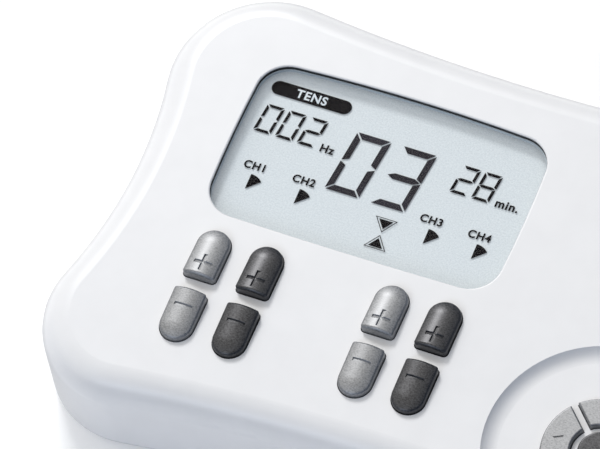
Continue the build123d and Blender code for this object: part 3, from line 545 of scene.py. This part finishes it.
def key_cap(name, centre, turn, plus, box, sizes, material):
    """Height over the plan = ridge falling along y - crown * (share of half width)^2
    - a facet at the flat end - a quarter-round along the side - the engraved bars. The walls,
    flange and stem below are rings of the same outline."""
    low, high = box
    width, length = sizes["width"], sizes["length"]
    half, corner = width / 2, sizes["corner"]
    round_from = length / 2 - half
    y_symbol = sizes["symbol_in"] - length / 2
    bar, stroke = sizes["symbol"] / 2, sizes["stroke"] / 2
    walls = [bar, bar - sizes["end"], stroke + 0.01 * MM, stroke - 0.01 * MM,
             stroke - sizes["steep"]]
    edges = np.array(walls + [-wall for wall in walls])
    ease = (1 - np.cos(np.linspace(0, np.pi, CAP_ROWS))) / 2
    ys = np.sort(np.append(length * (ease - 0.5), edges + y_symbol))
    ease = (1 - np.cos(np.linspace(0, np.pi, CAP_COLUMNS))) / 2
    xs = np.sort(np.append(width * (ease - 0.5), edges))
    rows, columns = len(ys), len(xs)
    reach = bullet_half_width(ys, width, length, corner)
    x = xs[None, :] / half * reach[:, None]
    y = np.repeat(ys[:, None], columns, axis=1)
    past = np.maximum(y - round_from, 0)
    inside = np.where(y > round_from, half - np.hypot(x, past), half - np.abs(x))
    inside = np.clip(inside, 0, half)
    share = 1 - inside / half
    top = high.z - sizes["slope"] * (y + length / 2) / length - sizes["crown"] * share**2
    flat = y + length / 2
    facet = sizes["facet"]
    top -= np.clip(1 - flat / facet, 0, 1) * facet * FACET_FALL
    edge = sizes["edge"]
    rim = np.clip(edge - np.minimum(inside, flat), 0, edge)
    top -= edge - np.sqrt(np.maximum(edge**2 - rim**2, 0))
    side = -1 if turn else 1
    u, v = side * x, side * (y - y_symbol)
    deep = groove(u, v, bar, stroke, sizes)
    if plus:
        deep = np.maximum(deep, groove(v, -u, bar, stroke, sizes))
    top -= sizes["engrave"] * deep
    verts = [np.stack([x, y, top], axis=-1).reshape(-1, 3)]
    faces = [grid_faces(rows, columns)]
    index = np.arange(rows * columns).reshape(rows, columns)
    ring = np.concatenate([index[0, :-1], index[:-1, -1], index[-1, :0:-1], index[:0:-1, 0]])
    plan = verts[0][ring][:, :2]
    count = len(ring)
    angle = np.arctan2(plan[:, 1], plan[:, 0])
    stem = np.stack([np.cos(angle), np.sin(angle)], axis=-1) * sizes["stem_r"]
    lap = sizes["lap"]
    scale = np.array([1 + lap / half, 1 + 2 * lap / length])
    wide = plan * scale
    layers = [(plan, sizes["flange_top"]), (wide, sizes["flange_top"]),
              (wide, sizes["flange_bottom"]), (stem, sizes["flange_bottom"]), (stem, low.z)]
    start = rows * columns
    before = ring
    for outline, z in layers:
        verts.append(np.column_stack([outline, np.full(count, z)]))
        now = np.arange(start, start + count)
        after = np.roll(now, -1)
        faces.append(np.stack([np.roll(before, -1), before, now, after], axis=-1))
        before, start = now, start + count
    faces = [tuple(f) for part in faces for f in part] + [tuple(before[::-1])]
    points = np.concatenate(verts)
    if turn:
        points[:, :2] *= -1
    points[:, 0] += centre.x
    points[:, 1] += centre.y
    return mesh_piece(name, points, faces, material, sharp_deg=38)


class TENS_OT_channel_keys(bpy.types.Operator):
    """Crowned plus and minus keys of the four channels"""

    bl_idname = "tens.channel_keys"
    bl_label = "Channel keys"

    def execute(self, context):
        settings = context.scene.tens_keys
        finishes = (silver_lacquered_abs(), gunmetal_lacquered_abs())
        for channel in range(1, 5):
            for plus in (True, False):
                node = f"channel_{channel}_{'plus' if plus else 'minus'}_key"
                low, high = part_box(node)
                sizes = {
                    "width": high.x - low.x - 2 * FLANGE_LAP,
                    "length": high.y - low.y - 2 * FLANGE_LAP,
                    "corner": KEY_CORNER, "lap": FLANGE_LAP, "stem_r": STEM_RADIUS,
                    "flange_bottom": low.z + STEM_DROP,
                    "flange_top": low.z + STEM_DROP + FLANGE_THICK,
                    "engrave": ENGRAVE_DEPTH, "end": GROOVE_END, "steep": GROOVE_STEEP,
                    "gentle": GROOVE_GENTLE, "step": GROOVE_STEP,
                    "crown": settings.crown, "slope": settings.slope, "edge": settings.edge,
                    "facet": settings.facet, "symbol": settings.symbol,
                    "stroke": settings.stroke,
                    "symbol_in": settings.plus_in if plus else settings.minus_in,
                }
                cap = key_cap(f"{node}_cap", (low + high) / 2, not plus, plus, (low, high),
                              sizes, finishes[(channel + 1) % 2])
                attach(cap, node)
                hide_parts(node)
        return {"FINISHED"}


# ------------------------------------------------------------------ readout
SEGMENTS = {"0": "abcdef", "2": "abged", "3": "abgcd", "8": "abcdefg"}

CELL_CORNER = 1.0 * MM
REFLECTOR_DROP = 0.38 * MM                    # from the cell's face down to its reflector
DYE_BOTTOM, DYE_TOP = 0.06 * MM, 0.02 * MM    # the darkened layer, below the cell's face
SMALL_WIDTH, SMALL_THICK = 4.9 * MM, 0.8 * MM
BIG_WIDTH, BIG_PITCH, BIG_THICK = 9.6 * MM, 12.75 * MM, 1.75 * MM

# Places on the display, in millimetres right of and behind its middle.
FREQUENCY_CORNER, FREQUENCY_PITCH = (-36.5, 12.3), 6.15 * MM
TIME_CORNER, TIME_PITCH = (18.8, 11.8), 6.05 * MM
NUMBER_CORNER = (-11.1, 12.0)
WEDGE_POINTS = ((-32.5, -13.2), (-18.8, -13.2), (17.3, -13.3), (30.7, -13.4))
WEDGE_RADIUS = 4.55 * MM
HOURGLASS = (((2.8, -9.5), (8.9, -9.5), (6.0, -13.7)),
             ((3.0, -18.7), (6.0, -14.5), (9.1, -18.7)))
FRAME_SHARE, CORE_SHARE = 0.88, 0.64          # inner edge and core of each triangle
MODE_BAR, MODE_BAR_RADIUS = ((-35.6, 17.7), (-17.3, 17.7)), 2.05 * MM
MODE_LABEL, MODE_LABEL_HEIGHT = (-26.4, 17.7), 2.4 * MM
WORDS = (("Hz", (-16.6, 4.6), 2.25), ("min.", (33.8, 4.1), 2.4),
         ("CH1", (-32.7, -6.1), 2.15), ("CH2", (-18.8, -6.0), 2.15),
         ("CH3", (16.9, -6.1), 2.15), ("CH4", (30.4, -6.4), 2.15))  # text, middle, cap height


def figure_segments(digit, height, width, thick, gap):
    """Outlines of one seven-segment figure with mitred ends, origin at its lower left."""
    mid, half = height / 2, thick / 2
    across = [(gap, 0), (width - gap, 0), (width - gap - thick, thick), (gap + thick, thick)]
    up = [(0, mid + gap / 2), (thick, mid + gap / 2 + half), (thick, height - gap - thick),
          (0, height - gap)]
    shapes = {
        "d": across,
        "a": [(x, height - y) for x, y in across],
        "f": up,
        "e": [(x, height - y) for x, y in up],
        "b": [(width - x, y) for x, y in up],
        "c": [(width - x, height - y) for x, y in up],
        "g": [(gap, mid), (gap + thick, mid + half), (width - gap - thick, mid + half),
              (width - gap, mid), (width - gap - thick, mid - half), (gap + thick, mid - half)],
    }
    return [np.array(shapes[s]) for s in SEGMENTS[digit]]


def figures(text, corner, height, width, pitch, thick, slant):
    """A row of figures whose upper left corner is at corner, leaning by slant."""
    outlines = []
    for i, digit in enumerate(text):
        for outline in figure_segments(digit, height, width, thick, 0.05 * thick + 0.22 * MM):
            x = outline[:, 0] + (outline[:, 1] - height) * math.tan(slant) + i * pitch
            outlines.append(np.column_stack([corner[0] + x, corner[1] + outline[:, 1] - height]))
    return outlines


def wedge(apex, radius):
    """An eighth of a disc, from 43 to 91 degrees, with its point at apex."""
    angles = np.radians(np.linspace(43, 91, 13))
    arc = np.column_stack([apex[0] + radius * np.cos(angles), apex[1] + radius * np.sin(angles)])
    return np.vstack([[apex], arc])


def slot_outline(left, right, radius):
    """A bar with round ends between two centres."""
    angles = np.radians(np.linspace(-90, 90, 17))
    ends = [np.column_stack([right[0] + radius * np.cos(angles),
                             right[1] + radius * np.sin(angles)]),
            np.column_stack([left[0] - radius * np.cos(angles),
                             left[1] - radius * np.sin(angles)])]
    return np.vstack(ends)


def shrink(triangle, share):
    """The same triangle at a share of its size, about its middle."""
    middle = triangle.mean(axis=0)
    return middle + (triangle - middle) * share


def triangle_frame(triangle, share):
    """The three bars of a triangle's outline, each a mitred strip."""
    inner = shrink(triangle, share)
    bars = []
    for i in range(3):
        j = (i + 1) % 3
        bars.append(np.array([triangle[i], triangle[j], inner[j], inner[i]]))
    return bars


def lettering(name, text, centre, cap_height, z, material, thick):
    """Words set flat at z, centred on centre, as a mesh in place."""
    curve = bpy.data.curves.new(name, "FONT")
    curve.body = text
    curve.align_x, curve.align_y = "CENTER", "CENTER"
    curve.size = cap_height / 0.7
    curve.space_character = 1.12
    curve.offset = 0.04 * cap_height
    curve.extrude = thick / 2
    made = bpy.data.objects.new(name, curve)
    bpy.context.scene.collection.objects.link(made)
    bpy.context.view_layer.update()
    mesh = bpy.data.meshes.new_from_object(made)
    bpy.data.objects.remove(made)
    mesh.materials.clear()
    mesh.materials.append(material)
    co = np.zeros(len(mesh.vertices) * 3, np.float32)
    mesh.vertices.foreach_get("co", co)
    co = co.reshape(-1, 3)
    middle = (co.min(axis=0) + co.max(axis=0)) / 2
    co += np.array([centre[0], centre[1], z], np.float32) - middle
    mesh.vertices.foreach_set("co", co.ravel())
    placed = bpy.data.objects.new(name, mesh)
    bpy.context.scene.collection.objects.link(placed)
    return placed


def rounded_plate(low, high, corner, z0, z1, name, material):
    """A plate with round corners: its plan is a rounded rectangle, its rim upright."""
    angles = np.radians(np.linspace(0, 90, 13))
    centres = [(high[0] - corner, high[1] - corner, 0), (low[0] + corner, high[1] - corner, 90),
               (low[0] + corner, low[1] + corner, 180), (high[0] - corner, low[1] + corner, 270)]
    outline = []
    for x, y, turn in centres:
        a = angles + math.radians(turn)
        outline += list(zip(x + corner * np.cos(a), y + corner * np.sin(a)))
    return flat_polygons(name, [np.array(outline)], z0, z1, material)


class TENS_OT_readout(bpy.types.Operator):
    """The liquid crystal cell: reflector, figures, channel marks and words"""

    bl_idname = "tens.readout"
    bl_label = "Readout"

    def execute(self, context):
        settings = context.scene.tens_readout
        low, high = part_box("lcd_glass")
        sight_low, sight_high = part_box("window_trim")
        middle = (sight_low + sight_high) / 2

        def at(x_mm, y_mm):
            return (middle.x + x_mm * MM, middle.y + y_mm * MM)

        reflector_z = high.z - REFLECTOR_DROP
        cell = rounded_plate(low, high, CELL_CORNER, low.z, reflector_z, "lcd_cell",
                             lcd_reflector())
        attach(cell, "case")
        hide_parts("lcd_glass")
        dye, pale_dye = lcd_segment_dye(), lcd_number_dye()
        z0, z1 = high.z - DYE_BOTTOM, high.z - DYE_TOP
        small, big, lean = settings.small_height, settings.big_height, settings.slant
        outlines = figures("002", at(*FREQUENCY_CORNER), small, SMALL_WIDTH, FREQUENCY_PITCH,
                           SMALL_THICK, lean)
        outlines += figures("28", at(*TIME_CORNER), small, SMALL_WIDTH, TIME_PITCH,
                            SMALL_THICK, lean)
        for point in WEDGE_POINTS:
            outlines.append(wedge(at(*point), WEDGE_RADIUS))
        for corners in HOURGLASS:
            triangle = np.array([at(*corner) for corner in corners])
            outlines += triangle_frame(triangle, FRAME_SHARE)
            outlines.append(shrink(triangle, CORE_SHARE))
        left, right = MODE_BAR
        outlines.append(slot_outline(at(*left), at(*right), MODE_BAR_RADIUS))
        number = figures("03", at(*NUMBER_CORNER), big, BIG_WIDTH, BIG_PITCH, BIG_THICK, lean)
        pieces = [flat_polygons("readout_marks", outlines, z0, z1, dye),
                  flat_polygons("readout_number", number, z0, z1, pale_dye)]
        for text, place, cap_height in WORDS:
            name = "readout_word_" + text.strip(".").lower()
            pieces.append(lettering(name, text, at(*place), cap_height * MM,
                                    (z0 + z1) / 2, dye, z1 - z0))
        label = lettering("readout_mode_label", "TENS", at(*MODE_LABEL), MODE_LABEL_HEIGHT,
                          z1 + 0.02 * MM, pale_lcd_lettering(), 0.03 * MM)
        pieces.append(label)
        for piece in pieces:
            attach(piece, "case")
        return {"FINISHED"}


# ------------------------------------------------------------------ parts that keep their CAD shape
class TENS_OT_case(bpy.types.Operator):
    """White moulded shells and the sliding battery cover"""

    bl_idname = "tens.case"
    bl_label = "Case shells"

    def execute(self, context):
        finish_nodes(["front_shell"], white_abs_with_black_reveal())
        finish_nodes(["rear_shell", "battery_cover"], moulded_white_abs())
        return {"FINISHED"}


class TENS_OT_window(bpy.types.Operator):
    """Clear lens, light seal and bezel of the display"""

    bl_idname = "tens.window"
    bl_label = "Display window"

    def execute(self, context):
        finish_nodes(["window_trim"], pale_light_seal())
        finish_nodes(["lcd_bezel"], black_moulded_abs())
        finish_nodes(["display_lens"], clear_acrylic())
        finish_nodes(["lcd_backlight"], milky_acrylic())
        finish_nodes(["lcd_connector_strips"], carbon_silicone())
        return {"FINISHED"}


class TENS_OT_pad_keys(bpy.types.Operator):
    """Direction ring, enter key and the keys beside the display"""

    bl_idname = "tens.pad_keys"
    bl_label = "Direction and side keys"

    def execute(self, context):
        finish_nodes(["up_key", "down_key", "left_key", "right_key", "menu_key", "stop_key"],
                     silver_lacquered_abs())
        finish_nodes(["enter_key", "power_key"], gunmetal_lacquered_abs())
        return {"FINISHED"}


class TENS_OT_fittings(bpy.types.Operator):
    """Sockets, screws and feet"""

    bl_idname = "tens.fittings"
    bl_label = "Sockets, screws and feet"

    def execute(self, context):
        sockets = [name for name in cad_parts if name.startswith("channel_socket")]
        finish_nodes(sockets, moulded_nylon())
        finish_nodes(["case_screws", "board_screws"], zinc_plated_steel())
        finish_nodes(["rubber_feet"], foot_rubber())
        return {"FINISHED"}


class TENS_OT_inner_parts(bpy.types.Operator):
    """Board, components, mat, batteries and their contacts"""

    bl_idname = "tens.inner_parts"
    bl_label = "Inner parts"

    def execute(self, context):
        finish_nodes(["main_board"], solder_mask())
        finish_nodes(["keypad_mat"], silicone_rubber())
        finish_nodes(["carbon_contacts"], carbon_silicone())
        finish_nodes(["output_transformers"], coil_tape())
        finish_nodes(["microcontroller", "buzzer"], moulded_epoxy())
        finish_nodes(["capacitors"], drawn_aluminium())
        finish_nodes(["battery_contacts", "battery_springs"], nickel_plated_steel())
        finish_nodes(["battery_1", "battery_2", "battery_3"], printed_battery_jacket())
        return {"FINISHED"}


# ------------------------------------------------------------------ stage
def studio_room(strength):
    """Even white room, brighter behind the left shoulder and darker to the front right."""
    world = bpy.data.worlds.new("studio_room")
    world.use_nodes = True
    tree = world.node_tree
    tree.nodes.clear()
    coords = add(tree, "ShaderNodeTexCoord")
    bright_side = Vector((-0.45, 0.15, 0.88)).normalized()
    dot = add(tree, "ShaderNodeVectorMath", {"operation": "DOT_PRODUCT", 1: bright_side},
              {0: coords.outputs["Generated"]})
    ramp = add(tree, "ShaderNodeValToRGB", links={"Fac": dot.outputs["Value"]})
    ends = ramp.color_ramp.elements
    ends[0].position, ends[1].position = 0.4, 0.85
    ends[0].color = (*linear("586880"), 1)
    ends[1].color = (*linear("FFFCF6"), 1)
    back = add(tree, "ShaderNodeBackground", {"Strength": strength},
               {"Color": ramp.outputs["Color"]})
    add(tree, "ShaderNodeOutputWorld", links={"Surface": back.outputs[0]})
    bpy.context.scene.world = world


def area_light(name, place, target, size, power, colour):
    """A square soft light aimed at target."""
    light = bpy.data.lights.new(name, "AREA")
    light.size, light.energy, light.color = size, power, colour
    made = bpy.data.objects.new(name, light)
    bpy.context.scene.collection.objects.link(made)
    made.location = place
    made.rotation_mode = "QUATERNION"
    made.rotation_quaternion = (target - place).to_track_quat("-Z", "Y")


def opal_table():
    """Opal acrylic shooting table, lit faintly from below: matt white with a slow mottle."""
    material, tree = new_material("opal_table")
    colour = tint(tree, grain(tree, 40.0, detail=2.0), "F0F0F0", "F6F6F6")
    shader = add(tree, "ShaderNodeBsdfPrincipled",
                 {"Roughness": 0.8, "IOR": 1.49, "Emission Strength": 0.14},
                 {"Base Color": colour.outputs["Color"], "Emission Color": colour.outputs["Color"]})
    return surface(material, tree, shader)


class TENS_OT_stage(bpy.types.Operator):
    """Pale floor, soft studio light and the camera"""

    bl_idname = "tens.stage"
    bl_label = "Stage"

    def execute(self, context):
        settings = context.scene.tens_stage
        low, high = CAD_BOX
        reach = 3.0
        verts = [(-reach, -reach, low.z), (reach, -reach, low.z), (reach, reach, low.z),
                 (-reach, reach, low.z)]
        floor = mesh_piece("studio_floor", verts, [(0, 1, 2, 3)], opal_table(), smooth=False)
        studio_room(settings.room)
        target = Vector((0, 0, high.z))
        key_from = Vector((-0.63, 0.77, 0.87)).normalized() * 1.6
        area_light("key_light", target + key_from, target, 0.4, settings.key_power,
                   (1.0, 1.0, 1.0))
        fill_from = Vector((-0.2, -0.8, 0.6)).normalized() * 1.4
        area_light("fill_light", target + fill_from, target, 0.5, settings.fill_power,
                   linear("D4DEEE"))
        self.camera(context)
        context.scene.view_settings.view_transform = "Standard"
        return {"FINISHED"}

    def camera(self, context):
        """A long lens two metres off, in front and to the right, rolled to the left."""
        shell_low, shell_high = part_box("front_shell")
        aim = Vector((-41.1 * MM, -1.2 * MM, shell_high.z))
        azimuth, elevation, roll = (math.radians(v) for v in (33.0, 59.7, -12.1))
        back = Vector((math.sin(azimuth) * math.cos(elevation),
                       -math.cos(azimuth) * math.cos(elevation), math.sin(elevation)))
        data = bpy.data.cameras.new("camera")
        data.lens = 467.0
        data.clip_start, data.clip_end = 0.1, 20.0
        made = bpy.data.objects.new("camera", data)
        context.scene.collection.objects.link(made)
        distance = 2.0
        made.location = aim + back * distance
        made.rotation_mode = "QUATERNION"
        turn = (-back).to_track_quat("-Z", "Y")
        made.rotation_quaternion = turn @ Quaternion((0, 0, 1), roll)
        context.scene.camera = made


OPERATORS = (
    TENS_OT_stage, TENS_OT_case, TENS_OT_window, TENS_OT_readout, TENS_OT_channel_keys,
    TENS_OT_pad_keys, TENS_OT_fittings, TENS_OT_inner_parts,
)


class TENS_PT_panel(bpy.types.Panel):
    """Lists the settings and the operators"""

    bl_idname = "TENS_PT_panel"
    bl_label = "TENS unit"
    bl_space_type = "VIEW_3D"
    bl_region_type = "UI"
    bl_category = "TENS unit"

    def draw(self, context):
        for group in ("tens_keys", "tens_readout", "tens_stage"):
            settings = getattr(context.scene, group)
            for name in settings.bl_rna.properties.keys():
                if name not in ("rna_type", "name"):
                    self.layout.prop(settings, name)
        for operator in OPERATORS:
            self.layout.operator(operator.bl_idname)


GROUPS = {"tens_keys": KeySettings, "tens_readout": ReadoutSettings, "tens_stage": StageSettings}


def register():
    for group in GROUPS.values():
        bpy.utils.register_class(group)
    for operator in OPERATORS:
        bpy.utils.register_class(operator)
    bpy.utils.register_class(TENS_PT_panel)
    for name, group in GROUPS.items():
        setattr(bpy.types.Scene, name, bpy.props.PointerProperty(type=group))


def unregister():
    for name in GROUPS:
        delattr(bpy.types.Scene, name)
    bpy.utils.unregister_class(TENS_PT_panel)
    for operator in reversed(OPERATORS):
        bpy.utils.unregister_class(operator)
    for group in reversed(list(GROUPS.values())):
        bpy.utils.unregister_class(group)


def main():
    register()
    for operator in OPERATORS:
        category, name = operator.bl_idname.split(".")
        getattr(getattr(bpy.ops, category), name)()


if __name__ == "__main__":
    main()
